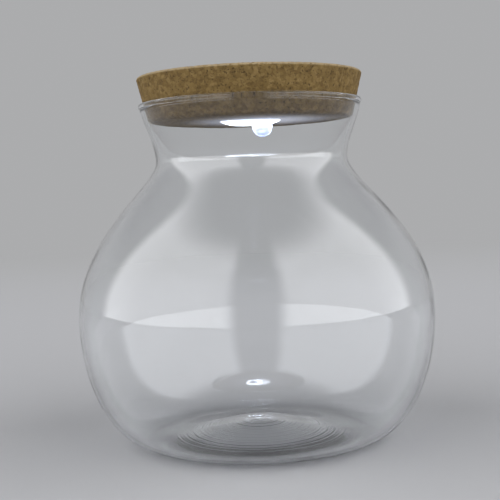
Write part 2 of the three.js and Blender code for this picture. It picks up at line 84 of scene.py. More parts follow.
# Lamp housing and lens
HOUSING_WALL = 1.5 * MM
SHOULDER_THICKNESS = 1.5 * MM
SHOULDER_LIP = 1.2 * MM
FLANGE_RIM = 2.5 * MM
FLANGE_FLOOR = 1.0 * MM
SNOUT_WALL = 1.5 * MM
TAB_REACH = 1.6 * MM
TAB_THICKNESS = 1.4 * MM
TAB_SPREAD = math.radians(50)
LENS_WALL = 1.0 * MM
LENS_DROP = 1.3 * MM  # flat underside of the lens below the cork
LENS_RIM_DROP = 0.1 * MM  # edge of the lens below the cork
LENS_SLOPE = 4.4 * MM  # width of the sloped edge round the flat underside
LENS_EDGE = 0.18 * MM
SPIGOT_WALL = 1.6 * MM
SEAL_SECTION = 0.45 * MM  # radius of the seal's round section
LED_RADIUS = 2.5 * MM
LED_FLANGE_THICKNESS = 1.0 * MM
LED_ROOM = 0.8 * MM  # between bulb and lens
LED_EDGE = 0.1 * MM

# Battery cap and button
CAP_THICKNESS = 1.6 * MM
SKIRT_WALL = 1.2 * MM
LUG_THICKNESS = 1.2 * MM
LUG_SPREAD = math.radians(40)
LOCK_SIDES = (0, 120, 240)  # degrees round the axis, of the cap's lugs and the housing's tabs
GRIP_INNER = 9 * MM
GRIP_OUTER = 14 * MM
GRIP_SPREAD = math.radians(50)
GRIP_DEPTH = 0.7 * MM
GRIP_SIDES = (0, 180)
BUTTON_LIP = 1.2 * MM
BUTTON_LIP_THICKNESS = 1.0 * MM
BUTTON_EDGE = 0.6 * MM
BUTTON_RIM = 1.5 * BUTTON_EDGE  # from the button's side to its dish
BUTTON_DISH = 0.34 * MM
DISH_HANDLES = (0.7, 0.4)  # of the dish's curve, as shares of its radius
STEM_RADIUS = 2 * MM
FIT_GAP = 0.2 * MM  # beside a piece that moves or slips in
SEAT_GAP = 0.05 * MM  # under a piece that rests on another

# Fineness and edges of the pieces
BOTTLE_SIDES = 144
PUNT_STEPS = 300
CORNER_STEPS = 36
SHOULDER_STEPS = 40
FLARE_STEPS = 20
LIP_STEPS = 14
FLOOR_STEPS = 24
CORK_SIDES = 448
CORK_EDGE_STEPS = 6
CORK_GRAIN_STEP = 0.6 * MM  # spacing of the mesh that holds the grain
LAMP_SIDES = 96
NUB_STEPS = 16
BULB_STEPS = 12
BUTTON_EDGE_STEPS = 5
DISH_STEPS = 8
EASED_EDGE = 0.25 * MM
EASE_STEPS = 3
EASE_ANGLE = math.radians(40)  # sharper edges are eased
SMOOTH_ANGLE = math.radians(35)  # sharper edges stay crisp
SMOOTH_LENS = math.radians(50)
SMOOTH_ROUND = math.radians(60)  # for the glass and the cork
MERGE = 0.001 * MM  # closer points become one

# Finish of the glass
GLASS_TINT = (0.985, 0.993, 1.0)
GLASS_SMUDGE = 30 * MM
GLASS_WAVE = 22 * MM
GLASS_WAVE_DEPTH = 0.12 * MM

# Finish of the cork
CORK_BARK_AND_SHADE = (0.045, 0.026, 0.01)
CORK_DARK = (0.115, 0.07, 0.024)
CORK_BROWN = (0.175, 0.112, 0.038)
CORK_TAN = (0.225, 0.148, 0.053)
CORK_PALE = (0.3, 0.205, 0.085)
CORK_WORN_HIGHLIGHT = (0.42, 0.33, 0.2)
CORK_EDGE_BAND = 1.3 * MM  # width of the paler band along the top edge, partly rubbed and partly a painted highlight
CORK_WANDER = 1.2 * MM  # size of the bends in the granules' edges
CORK_SPECK = 0.9 * MM
CORK_BLOTCH = 4 * MM
CREVICE_PATCH = 1.6 * MM
CORK_TOOTH = 0.45 * MM
CORK_RELIEF = 0.14 * MM
CORK_PAINTED_LIGHT = 0.5  # strength of the lamp's light painted on the underside as a glow
CORK_PAINTED_LIGHT_RISE = 0.1 * MM  # above the underside, where that painted light starts to fade

# Finish of the lens and the bulb, with colours of glow as shares of LENS_GLOW or BULB_GLOW
# The next two colours are the painted lamp light on the cork's underside, from none to full.
NO_LIGHT = (0, 0, 0)
PAINTED_LAMP_COLOR = (0.72, 0.8, 1.0)
LENS_TINT = (0.1, 0.115, 0.16)
LENS_HAZE = 3 * MM
LENS_GLOW = 100.0
LENS_BULB_GLOW = (0.9, 0.95, 1.0)
LENS_EDGE_GLOW = (0.05, 0.053, 0.058)
LENS_RIM_GLOW = (0.005, 0.0054, 0.006)
NUB_ROOT = 0.3 * MM  # below the flat, from where down the nub has its own glow
NUB_ROOT_BLEND = 0.25 * MM
NUB_ROOT_GLOW = (0.008, 0.0083, 0.0095)
NUB_TIP_GLOW = (0.0005, 0.0007, 0.004)
BULB_TINT = (0.2, 0.22, 0.25)
BULB_CORE = 1.5 * MM
BULB_GLOW = 24.0
BULB_TIP_GLOW = (0.9, 0.95, 1.0)
BULB_SIDE_GLOW = (0.02, 0.024, 0.05)

# Finishes of the rest of the lamp
PLASTIC_WHITE = (0.72, 0.71, 0.68)
PLASTIC_BLACK = (0.022, 0.022, 0.024)
MOULD_GRAIN = 0.2 * MM
MOULD_BLOTCH = 9 * MM
MOULD_RELIEF = 0.02 * MM
SEAL_BLACK = (0.02, 0.02, 0.021)
FOAM_GREY = (0.07, 0.07, 0.075)
RUBBER_GRAIN = 0.3 * MM
RUBBER_RELIEF = 0.04 * MM
BOARD_DARK = (0.02, 0.13, 0.05)
BOARD_LIGHT = (0.04, 0.2, 0.08)
BOARD_WEAVE = 0.5 * MM
BOARD_RELIEF = 0.02 * MM
STEEL = (0.6, 0.61, 0.62)
NICKEL = (0.6, 0.57, 0.5)
BRUSH_MARKS = (300, 4000, 300)  # strokes in a metre, along each axis
BRUSH_RELIEF = 0.01 * MM

# Camera, from the fit to the photo's outline
CAMERA_PLACE = (-2.0 * MM, -436 * MM, 105 * MM)
CAMERA_LENS = 73.9
CAMERA_PITCH = math.radians(3.3)
CAMERA_ROLL = math.radians(-2.0)

# Studio
FLOOR_SIZE = 8.0
FLOOR_SIDES = 96
FLOOR_DROP = 0.2 * MM
FLOOR_COLOR = (0.46, 0.46, 0.47)
FLOOR_FADE = (0.35, 1.5)  # distances from the bottle over which the floor runs into the backdrop
BACKDROP = (0.41, 0.413, 0.42)
CEILING = (0.2, 0.2, 0.205)
CEILING_EDGE = 0.28  # sine of the height above the horizon where the backdrop ends
CEILING_SOFT = 0.25
DOME_LIGHT = (0.22, 0.223, 0.23)
PANEL_LIGHT = (2.2, 2.22, 2.26)  # two tall soft panels, left and right of the camera
PANEL_NEAR = math.radians(12)  # turned this far from the camera's side of the bottle
PANEL_FAR = math.radians(105)
PANEL_HIGH = 0.75  # sine of the height of their upper edge
PANEL_SOFT = 0.2  # width of their soft edges


def round_size(node):
    """Outer radius, lowest and highest place of a round CAD node that stands on the axis."""
    low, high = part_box(node)
    return high.x, low.z, high.z


# The lamp's places, from the frame
lens_radius, nub_tip, spigot_top = round_size("lens_cup")
flange_radius, snout_low, lamp_top = round_size("lamp_housing")
cork_radius, cork_low, cork_top = round_size("cork_lid")
tray_radius, _, _ = round_size("cell_tray")
led_low, led_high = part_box("led_bulb")
led_x = (led_low.x + led_high.x) / 2
shoulder_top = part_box("led_board")[0].z - SEAT_GAP
shoulder_under = shoulder_top - SHOULDER_THICKNESS
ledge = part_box("cap_seal")[0].z - SEAT_GAP
flange_under = ledge - FLANGE_FLOOR
cup_inner = tray_radius + FIT_GAP
cup_outer = cup_inner + HOUSING_WALL
snout_bore = lens_radius - SNOUT_WALL
lens_flat = cork_low - LENS_DROP
cap_under = lamp_top - CAP_THICKNESS


# Outlines, as (radius, height) points

def arc(middle, size, start, end, steps):
    """Points of an ellipse about middle, from one angle in degrees to another, with both ends."""
    points = []
    for i in range(steps + 1):
        angle = math.radians(start + (end - start) * i / steps)
        points.append(Vector((middle[0] + size[0] * math.cos(angle), middle[1] + size[1] * math.sin(angle))))
    return points


def curve(start, pull, push, end, steps):
    """Points of a cubic curve, with both ends."""
    points = []
    for i in range(steps + 1):
        t = i / steps
        weights = ((1 - t) ** 3, 3 * t * (1 - t) ** 2, 3 * t * t * (1 - t), t ** 3)
        handles = (start, pull, push, end)
        points.append(Vector((sum(w * p[0] for w, p in zip(weights, handles)),
                              sum(w * p[1] for w, p in zip(weights, handles)))))
    return points


def inset(points, depth):
    """The points moved to the left of their line by depth."""
    moved = []
    last = len(points) - 1
    for i, point in enumerate(points):
        along = (points[min(i + 1, last)] - points[max(i - 1, 0)]).normalized()
        moved.append(point + depth * Vector((-along.y, along.x)))
    return moved


def spaced(points, step):
    """The same outline with more points, no further apart than step."""
    fine = [Vector(points[0])]
    for a, b in zip(points, points[1:]):
        a, b = Vector(a), Vector(b)
        count = max(1, math.ceil((b - a).length / step))
        fine += [a.lerp(b, i / count) for i in range(1, count + 1)]
    return fine


def closed(outline):
    """The outline, ended where it starts."""
    return [*outline, outline[0]]


# Modelling

def turn(name, outline, sides, x=0.0):
    """A closed piece turned about the upright axis at x. The outline ends on the axis or where it starts."""
    bpy.ops.object.select_all(action="DESELECT")
    bpy.ops.mesh.primitive_plane_add(size=MM)
    piece = bpy.context.object
    piece.name = name
    bpy.ops.object.mode_set(mode="EDIT")
    bpy.ops.mesh.select_mode(type="VERT")
    bpy.ops.mesh.merge(type="CENTER")
    bpy.ops.transform.translate(value=(outline[0][0], 0, outline[0][1]))
    for a, b in zip(outline, outline[1:]):
        bpy.ops.mesh.extrude_region_move(TRANSFORM_OT_translate={"value": (b[0] - a[0], 0, b[1] - a[1])})
    bpy.ops.mesh.select_all(action="SELECT")
    bpy.ops.mesh.spin(steps=sides, angle=math.tau, center=(0, 0, 0), axis=(0, 0, 1))
    bpy.ops.mesh.select_all(action="SELECT")
    bpy.ops.mesh.remove_doubles(threshold=MERGE)
    bpy.ops.mesh.normals_make_consistent(inside=False)
    bpy.ops.transform.translate(value=(x, 0, 0))
    bpy.ops.object.mode_set(mode="OBJECT")
    return piece


def select_faces(piece, wanted):
    """Enters edit mode with just the wanted faces selected, by radius, angle and height of their middles."""
    bpy.ops.object.select_all(action="DESELECT")
    piece.select_set(True)
    bpy.context.view_layer.objects.active = piece
    bpy.ops.object.mode_set(mode="EDIT")
    bpy.ops.mesh.select_mode(type="FACE")
    bpy.ops.mesh.select_all(action="DESELECT")
    mesh = bmesh.from_edit_mesh(piece.data)
    for face in mesh.faces:
        middle = face.calc_center_median()
        face.select = wanted(math.hypot(middle.x, middle.y), math.atan2(middle.y, middle.x), middle.z)
    mesh.select_flush_mode()
    bmesh.update_edit_mesh(piece.data)


def near(angle, directions, spread):
    """True if the angle lies within half of spread of one of the directions, which are in degrees."""
    return any(abs(math.remainder(angle - math.radians(d), math.tau)) < spread / 2 for d in directions)


def widen(share):
    """Draws the selected faces out of the piece, to this share of their distance from the axis."""
    bpy.ops.mesh.extrude_region_move()
    bpy.ops.transform.resize(value=(share, share, 1), center_override=(0, 0, 0))
    bpy.ops.object.mode_set(mode="OBJECT")


def sink(depth):
    """Pushes the selected faces down into the piece."""
    bpy.ops.mesh.extrude_region_move(TRANSFORM_OT_translate={"value": (0, 0, -depth)})
    bpy.ops.object.mode_set(mode="OBJECT")


def combine(piece, other, operation):
    """Joins another piece to this one or cuts it away, and removes the other."""
    change = piece.modifiers.new(operation, "BOOLEAN")
    change.operation = operation
    change.object = other
    bpy.context.view_layer.objects.active = piece
    bpy.ops.object.modifier_apply(modifier=change.name)
    bpy.data.objects.remove(other)


def ease(piece, width):
    """Rounds the piece's sharp edges."""
    bevel = piece.modifiers.new("eased edges", "BEVEL")
    bevel.width = width
    bevel.segments = EASE_STEPS
    bevel.limit_method = "ANGLE"
    bevel.angle_limit = EASE_ANGLE
    bpy.context.view_layer.objects.active = piece
    bpy.ops.object.modifier_apply(modifier=bevel.name)


def roughen(piece, name, kind, size, depth, span, **settings):
    """Sinks a pattern into the piece's skin: to its depth below the span of values, and not at all above."""
    pattern = bpy.data.textures.new(name, kind)
    pattern.noise_scale = size
    for key, value in settings.items():
        setattr(pattern, key, value)
    pattern.use_color_ramp = True
    for stop, position, shade in zip(pattern.color_ramp.elements, span, (0.0, 1.0)):
        stop.position = position
        stop.color = (shade, shade, shade, 1)
    skin = piece.modifiers.new(name, "DISPLACE")
    skin.texture = pattern
    skin.texture_coords = "LOCAL"
    skin.mid_level = 1.0
    skin.strength = depth
    bpy.context.view_layer.objects.active = piece
    bpy.ops.object.modifier_apply(modifier=skin.name)


def smooth(piece, angle=SMOOTH_ANGLE):
    """Shades the piece smooth, except over edges sharper than the angle."""
    bpy.ops.object.select_all(action="DESELECT")
    piece.select_set(True)
    bpy.context.view_layer.objects.active = piece
    bpy.ops.object.shade_smooth_by_angle(angle=angle)


def dress(piece, material, body, node):
    """Gives a new piece its finish, and puts it in the place of the CAD node."""
    piece.data.materials.clear()
    piece.data.materials.append(material)
    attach(piece, body)
    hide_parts(node)


# Materials

class Wire:
    """A socket in a material's nodes. Sums on it add Math nodes."""

    def __init__(self, tree, socket=None):
        self.tree = tree
        self.socket = socket

    def node(self, kind, sockets=None, output=0, stops=None, **settings):
        """Adds a node: its settings and ramp stops first, then the values or wires of its sockets."""
        made = self.tree.nodes.new("ShaderNode" + kind)
        for name, value in settings.items():
            setattr(made, name, value)
        if stops:
            ramp = made.color_ramp.elements
            while len(ramp) < len(stops):
                ramp.new(0.5)
            for stop, (place, color) in zip(ramp, stops):
                stop.position = place
                stop.color = (*color, 1)
        for name, value in (sockets or {}).items():
            socket = made.inputs[name]
            if isinstance(value, Wire):
                self.tree.links.new(value.socket, socket)
            else:
                socket.default_value = (*value, 1) if socket.type == "RGBA" else value
        return Wire(self.tree, made.outputs[output] if made.outputs else None)

    def math(self, operation, *values, clamp=False):
        return self.node("Math", dict(enumerate(values)), operation=operation, use_clamp=clamp)

    def __add__(self, other):
        return self.math("ADD", self, other)

    def __radd__(self, other):
        return self.math("ADD", other, self)

    def __sub__(self, other):
        return self.math("SUBTRACT", self, other)

    def __rsub__(self, other):
        return self.math("SUBTRACT", other, self)

    def __mul__(self, other):
        return self.math("MULTIPLY", self, other)

    def __rmul__(self, other):
        return self.math("MULTIPLY", other, self)

    def above(self, edge, width):
        """0 below the edge, rising to 1 over this width."""
        return self.node("MapRange", {"Value": self, "From Min": edge, "From Max": edge + width},
                         interpolation_type="SMOOTHSTEP")

    def mix(self, a, b):
        """Colour a where this is 0 and colour b where it is 1."""
        return self.node("Mix", {0: self, 6: a, 7: b}, output=2, data_type="RGBA")


def new_finish(name):
    """An empty material, and a wire that adds nodes to it."""
    material = bpy.data.materials.new(name)
    material.use_nodes = True
    material.node_tree.nodes.clear()
    return material, Wire(material.node_tree)


def surface(wire, **sockets):
    """Ends a material with one shader. Socket names are written with _ for each space."""
    shader = wire.node("BsdfPrincipled", {name.replace("_", " "): value for name, value in sockets.items()})
    wire.node("OutputMaterial", {"Surface": shader})


def place(wire):
    """Where on the piece a point lies."""
    return wire.node("TexCoord", output="Object")


def noise(wire, size, detail=3.0):
    """Soft noise from 0 to 1, with blotches of about this size."""
    return wire.node("TexNoise", {"Vector": place(wire), "Scale": 1 / size, "Detail": detail})


def bump(wire, height, depth):
    """Fine relief of this depth."""
    return wire.node("Bump", {"Height": height, "Strength": 1.0, "Distance": depth})


def height_of(wire):
    """Height above the table."""
    return wire.node("SeparateXYZ", {0: place(wire)}, output="Z")


def away_from(wire, x):
    """Distance from the upright line at x."""
    across, along = [wire.node("SeparateXYZ", {0: place(wire)}, output=axis) for axis in "XY"]
    across = across - x
    return wire.math("SQRT", across * across + along * along)


def facing_down(wire):
    """1 where the surface faces straight down, and 0 where it stands upright."""
    return 0 - wire.node("SeparateXYZ", {0: wire.node("NewGeometry", output="Normal")}, output="Z")


def paler(color, share):
    """The colour made lighter by this share."""
    return tuple(min(1.0, share * c) for c in color)


def clear_glass():
    """Clear glass with a few faint smudges and slow waves."""
    material, wire = new_finish("clear_glass")
    smudge = noise(wire, GLASS_SMUDGE, detail=4.0).above(0.55, 0.2)
    waves = noise(wire, GLASS_WAVE, detail=1.0)
    surface(wire, Base_Color=GLASS_TINT, Roughness=0.004 + 0.012 * smudge, Transmission_Weight=1.0, IOR=1.5,
            Normal=bump(wire, waves, GLASS_WAVE_DEPTH))
    return material


def painted_lamp_light(wire):
    """Painted light: the lamp's light painted on the cork's underside as a glow, fading away from the bulb.
    """
    bulb = (led_x, 0, cork_low)
    away = wire.node("VectorMath", {0: place(wire), 1: bulb}, operation="DISTANCE", output="Value")
    under = 1 - height_of(wire).above(cork_low + CORK_PAINTED_LIGHT_RISE, CORK_LOW_EDGE)
    fading = 1 - away.above(lens_radius / 2, cork_radius - lens_radius / 2)
    return (under * fading * fading).mix(NO_LIGHT, PAINTED_LAMP_COLOR)


def pressed_cork():
    """Fine pressed granules of mixed browns, with dark specks of bark, and painted shade in the crevices
    between the granules.
    """
    material, wire = new_finish("pressed_cork")
    wander = wire.node("TexNoise", {"Vector": place(wire), "Scale": 1 / CORK_WANDER}, output=1)
    warp = wire.node("VectorMath", {0: wander, 1: (GRANULE / 2,) * 3}, operation="MULTIPLY")
    bent = wire.node("VectorMath", {0: place(wire), 1: warp}, operation="ADD")
    cells = {"Vector": bent, "Scale": 1 / GRANULE, "Randomness": 1.0}
    shade = wire.node("SeparateColor", {"Color": wire.node("TexVoronoi", cells, output="Color")})
    edge = wire.node("TexVoronoi", cells, output="Distance", feature="DISTANCE_TO_EDGE")
    fine = noise(wire, CORK_SPECK, detail=4.0)
    blotch = noise(wire, CORK_BLOTCH, detail=2.0)
    tone = 0.3 * shade + 0.5 * fine + 0.2 * blotch
    grain = wire.node("ValToRGB", {"Fac": tone}, stops=[
        (0.22, CORK_DARK), (0.42, CORK_BROWN), (0.58, CORK_TAN), (0.8, CORK_PALE)])
    # Painted shade: the crevices between granules are darkened toward the bark colour.
    crevice = (1 - edge.above(0.0, 0.12)) * noise(wire, CREVICE_PATCH, detail=2.0).above(0.4, 0.25)
    speck = noise(wire, CORK_SPECK).above(0.58, 0.08)
    color = (0.75 * speck).mix((0.4 * crevice).mix(grain, CORK_BARK_AND_SHADE), CORK_BARK_AND_SHADE)
    # Partly real wear and partly a painted highlight: the top outer edge is paler.
    outer = away_from(wire, 0).above(cork_radius - CORK_EDGE_BAND, CORK_EDGE_BAND / 2)
    upper = height_of(wire).above(cork_top - CORK_EDGE_BAND, CORK_EDGE_BAND / 2)
    wear_and_highlight = outer * upper * noise(wire, CORK_SPECK).above(0.2, 0.4)
    color = (0.8 * wear_and_highlight).mix(color, CORK_WORN_HIGHLIGHT)
    relief = noise(wire, CORK_TOOTH, detail=4.0) - 0.5 * crevice - 0.9 * speck
    # The emission paints the lamp's light on the cork's underside.
    surface(wire, Base_Color=color, Roughness=0.75 + 0.2 * tone, Specular_IOR_Level=0.2,
            Normal=bump(wire, relief, CORK_RELIEF), Emission_Color=painted_lamp_light(wire),
            Emission_Strength=CORK_PAINTED_LIGHT)
    return material


def satin_plastic(name, color):
    """Moulded plastic with a fine spark-eroded skin."""
    material, wire = new_finish(name)
    skin = noise(wire, MOULD_GRAIN, detail=2.0)
    tint = noise(wire, MOULD_BLOTCH)
    surface(wire, Base_Color=tint.mix(color, paler(color, 1.05)), Roughness=0.34 + 0.16 * skin,
            Normal=bump(wire, skin, MOULD_RELIEF))
    return material


def lit_lens():
    """Clear plastic that glows from the bulb behind it: white round the bulb, blue towards the nub's tip."""
    material, wire = new_finish("lit_clear_plastic")
    haze = noise(wire, LENS_HAZE, detail=2.0)
    on_flat = height_of(wire).above(lens_flat - NUB_ROOT, NUB_ROOT_BLEND)
    nub = height_of(wire).above(nub_tip, lens_flat - nub_tip).mix(NUB_TIP_GLOW, NUB_ROOT_GLOW)
    flat = away_from(wire, led_x).above(LED_RADIUS, lens_radius / 2).mix(LENS_BULB_GLOW, LENS_EDGE_GLOW)
    edge = away_from(wire, 0).above(lens_radius - LENS_SLOPE, LENS_SLOPE)
    underside = facing_down(wire).above(0.4, 0.4)
    glow = on_flat.mix(nub, (underside * (1 - edge)).mix(LENS_RIM_GLOW, flat))
    surface(wire, Base_Color=LENS_TINT, Roughness=0.4 - 0.25 * on_flat + 0.1 * haze, Transmission_Weight=0.9,
            IOR=1.49, Emission_Color=glow, Emission_Strength=LENS_GLOW)
    return material


def lit_epoxy():
    """The bulb's plastic, which glows at its round tip."""
    material, wire = new_finish("lit_epoxy")
    core = noise(wire, BULB_CORE, detail=1.0)
    tip = facing_down(wire).above(0.65, 0.2)
    surface(wire, Base_Color=BULB_TINT, Roughness=0.1 + 0.1 * core, IOR=1.5,
            Emission_Color=tip.mix(BULB_SIDE_GLOW, BULB_TIP_GLOW), Emission_Strength=BULB_GLOW)
    return material


def rubber(name, color):
    """Dull rubber or foam with a fine grain."""
    material, wire = new_finish(name)
    skin = noise(wire, RUBBER_GRAIN, detail=4.0)
    surface(wire, Base_Color=skin.mix(color, paler(color, 1.5)), Roughness=0.7 + 0.25 * skin,
            Normal=bump(wire, skin, RUBBER_RELIEF))
    return material


def green_board():
    """A lacquered circuit board with its weave showing through."""
    material, wire = new_finish("green_board")
    weave = noise(wire, BOARD_WEAVE, detail=2.0)
    surface(wire, Base_Color=weave.mix(BOARD_DARK, BOARD_LIGHT), Roughness=0.35 + 0.2 * weave,
            Coat_Weight=0.4, Normal=bump(wire, weave, BOARD_RELIEF))
    return material


def bright_metal(name, color, rough):
    """Metal with faint brush marks."""
    material, wire = new_finish(name)
    strokes = wire.node("Mapping", {"Vector": place(wire), "Scale": BRUSH_MARKS})
    brushed = wire.node("TexNoise", {"Vector": strokes, "Scale": 1.0, "Detail": 3.0})
    surface(wire, Base_Color=brushed.mix(color, paler(color, 1.15)), Metallic=1.0,
            Roughness=rough + 0.15 * brushed, Normal=bump(wire, brushed, BRUSH_RELIEF))
    return material


# Pieces that are dressed anew

def rippled(base, edge):
    """The base's points with rings, which die out at the middle and towards the edge."""
    points = []
    for point in base:
        room = min(1.0, point.x / RIPPLE_PITCHES[0], (edge - point.x) / RIPPLE_PITCHES[0])
        wave = sum(math.sin(math.tau * point.x / pitch) for pitch in RIPPLE_PITCHES)
        points.append(point + Vector((0, RIPPLE_DEPTH * room * wave)))
    return points


def bottle_outline():
    """From the middle of the pushed-up base, out over the wall and the lip, and back to the middle inside."""
    belly, _, _ = round_size("glass_bottle")
    lip_radius = MOUTH_RADIUS - GLASS_WALL + LIP_BEAD
    lip_height = RIM_TOP - LIP_BEAD
    lip_start = -math.degrees(math.acos((MOUTH_RADIUS - lip_radius) / LIP_BEAD))
    flare_top = lip_height + LIP_BEAD * math.sin(math.radians(lip_start))
    ring_inner = FOOT_RADIUS - FOOT_RING_WIDTH
    floor_top = PUNT_RISE + FLOOR_THICKNESS
    punt = curve((0, PUNT_RISE), (PUNT_PULL, PUNT_RISE), (ring_inner - PUNT_PULL, 0),
                 (ring_inner, 0), PUNT_STEPS)
    corner = arc((FOOT_RADIUS, BELLY_RISE), (belly - FOOT_RADIUS, BELLY_RISE), -90, 0, CORNER_STEPS)
    shoulder = curve((belly, BELLY_RISE), (belly, BELLY_RISE + SHOULDER_PULL),
                     (NECK_RADIUS, NECK_HEIGHT - WAIST_PULL), (NECK_RADIUS, NECK_HEIGHT), SHOULDER_STEPS)
    flare = curve((NECK_RADIUS, NECK_HEIGHT), (NECK_RADIUS, NECK_HEIGHT + FLARE_PULL),
                  (MOUTH_RADIUS - MOUTH_LEAN * MOUTH_PULL, flare_top - MOUTH_PULL),
                  (MOUTH_RADIUS, flare_top), FLARE_STEPS)
    lip = arc((lip_radius, lip_height), (LIP_BEAD, LIP_BEAD), lip_start, 180, LIP_STEPS)
    floor = curve((FOOT_RADIUS, GLASS_WALL), (FOOT_RADIUS - PUNT_PULL, GLASS_WALL), (PUNT_PULL, floor_top),
                  (0, floor_top), FLOOR_STEPS)
    wall = corner + shoulder[1:] + flare[1:]
    return rippled(punt, ring_inner) + wall + lip[1:] + inset(wall, GLASS_WALL)[::-1] + floor[1:]


def bottle(material):
    """The blown bottle, turned as one shell."""
    piece = turn("bottle_glass", bottle_outline(), BOTTLE_SIDES)
    smooth(piece, SMOOTH_ROUND)
    dress(piece, material, "bottle", "glass_bottle")


def cork_outline():
    """From the bore's lower edge, out over the tapered wall and the top, and down the stepped bore."""
    bore_low = lens_radius + CORK_BORE_FIT
    bore_high = cup_outer + CORK_BORE_FIT
    recess = flange_radius + CORK_BORE_FIT
    recess_floor = flange_under - SEAT_GAP
    step = shoulder_under - SEAT_GAP
    edge_height = cork_top - CORK_TOP_EDGE

    def wall(height):
        return cork_radius - CORK_LEAN * (edge_height - height)

    low_edge = cork_low + CORK_LOW_EDGE
    top_middle = (cork_radius - CORK_TOP_EDGE, edge_height)
    shown = [(bore_low, cork_low), (wall(cork_low) - CORK_LOW_EDGE, cork_low), (wall(low_edge), low_edge),
             *arc(top_middle, (CORK_TOP_EDGE, CORK_TOP_EDGE), 0, 90, CORK_EDGE_STEPS),
             (recess, cork_top), (recess, recess_floor)]
    hidden = [(bore_high, recess_floor), (bore_high, step), (bore_low, step), (bore_low, cork_low)]
    return spaced(shown, CORK_GRAIN_STEP) + hidden


def cork(material):
    """The stopper, with crevices between its granules and with small pits."""
    piece = turn("cork_stopper", cork_outline(), CORK_SIDES)
    roughen(piece, "granules", "VORONOI", GRANULE, CREVICE_DEPTH, CREVICE_SPAN, weight_1=-1.0, weight_2=1.0)
    roughen(piece, "pits", "CLOUDS", PIT, PIT_DEPTH, PIT_SPAN, noise_depth=1)
    smooth(piece, SMOOTH_ROUND)
    dress(piece, material, "lid", "cork_lid")


def housing(material):
    """A stepped cup: a snout for the lens, a shoulder for the board, and a flange with inward tabs."""
    tab_under = ledge - TAB_THICKNESS
    cap_seat = flange_radius - FLANGE_RIM
    plate_seat = snout_bore - SHOULDER_LIP
    piece = turn("lamp_cup", closed([
        (snout_bore, snout_low), (lens_radius, snout_low), (lens_radius, shoulder_under),
        (cup_outer, shoulder_under), (cup_outer, flange_under), (flange_radius, flange_under),
        (flange_radius, lamp_top), (cap_seat, lamp_top), (cap_seat, ledge), (cup_inner, ledge),
        (cup_inner, tab_under), (cup_inner, shoulder_top), (plate_seat, shoulder_top),
        (plate_seat, shoulder_under), (snout_bore, shoulder_under)]), LAMP_SIDES)
    select_faces(piece, lambda r, a, z: abs(r - cup_inner) < FIT_GAP and tab_under < z < ledge
                 and near(a, LOCK_SIDES, TAB_SPREAD))
    widen((cup_inner - TAB_REACH) / cup_inner)
    ease(piece, EASED_EDGE)
    smooth(piece)
    dress(piece, material, "lid", "lamp_housing")


def peg(name, radius, tip, top):
    """A peg at the bulb's place, with its round end down."""
    outline = [*arc((0, tip + radius), (radius, radius), -90, 0, NUB_STEPS), (radius, top), (0, top)]
    return turn(name, outline, LAMP_SIDES, led_x)


def lens(material):
    """A flat clear cup with a hollow nub for the bulb, and a grooved spigot that plugs into the housing."""
    rim_top = snout_low - SEAT_GAP
    flat_top = lens_flat + LENS_WALL
    spigot = snout_bore - FIT_GAP
    spigot_inner = spigot - SPIGOT_WALL
    seal_radius, seal_low, seal_high = round_size("lens_seal")
    groove = seal_radius - 2 * SEAL_SECTION - SEAT_GAP
    groove_low = seal_low - FIT_GAP
    groove_high = seal_high + FIT_GAP
    hollow = LED_RADIUS + LED_ROOM
    piece = turn("lens", [
        (0, lens_flat), (lens_radius - LENS_SLOPE, lens_flat), (lens_radius, cork_low - LENS_RIM_DROP),
        (lens_radius, rim_top), (spigot, rim_top), (spigot, groove_low), (groove, groove_low),
        (groove, groove_high), (spigot, groove_high), (spigot, spigot_top), (spigot_inner, spigot_top),
        (spigot_inner, flat_top), (0, flat_top)], LAMP_SIDES)
    ease(piece, LENS_EDGE)
    combine(piece, peg("nub", hollow + LENS_WALL, nub_tip, lens_flat + LENS_WALL / 2), "UNION")
    combine(piece, peg("hollow", hollow, nub_tip + LENS_WALL, lens_flat + 2 * LENS_WALL), "DIFFERENCE")
    smooth(piece, SMOOTH_LENS)
    dress(piece, material, "lid", "lens_cup")


def led(material):
    """The bulb, with its round tip down and its flange up."""
    flange = (led_high.x - led_low.x) / 2
    flange_low = led_high.z - LED_FLANGE_THICKNESS
    dome = arc((0, led_low.z + LED_RADIUS), (LED_RADIUS, LED_RADIUS), -90, 0, BULB_STEPS)
    outline = [*dome, (LED_RADIUS, flange_low), (flange, flange_low), (flange, led_high.z), (0, led_high.z)]
    piece = turn("lamp_bulb", outline, LAMP_SIDES // 2, led_x)
    ease(piece, LED_EDGE)
    smooth(piece)
    dress(piece, material, "lid", "led_bulb")


def cap(material):
    """A disc with a hole for the button, finger recesses, and a skirt with lugs that lock under the tabs."""
    radius, low, _ = round_size("battery_cap")
    bore = round_size("push_button")[0] - BUTTON_LIP + FIT_GAP
    skirt_inner = round_size("cap_pad")[0] + FIT_GAP
    skirt = skirt_inner + SKIRT_WALL
    lug_top = low + LUG_THICKNESS
    piece = turn("cap", closed([
        (bore, cap_under), (skirt_inner, cap_under), (skirt_inner, low), (skirt, low), (skirt, lug_top),
        (skirt, cap_under), (radius, cap_under), (radius, lamp_top), (GRIP_OUTER, lamp_top),
        (GRIP_INNER, lamp_top), (bore, lamp_top)]), LAMP_SIDES)
    select_faces(piece, lambda r, a, z: abs(r - skirt) < FIT_GAP and z < lug_top
                 and near(a, LOCK_SIDES, LUG_SPREAD))
    widen(tray_radius / skirt)
    select_faces(piece, lambda r, a, z: GRIP_INNER < r < GRIP_OUTER and z > lamp_top - FIT_GAP
                 and near(a, GRIP_SIDES, GRIP_SPREAD))
    sink(GRIP_DEPTH)
    ease(piece, EASED_EDGE)
    smooth(piece)
    dress(piece, material, "cap", "battery_cap")


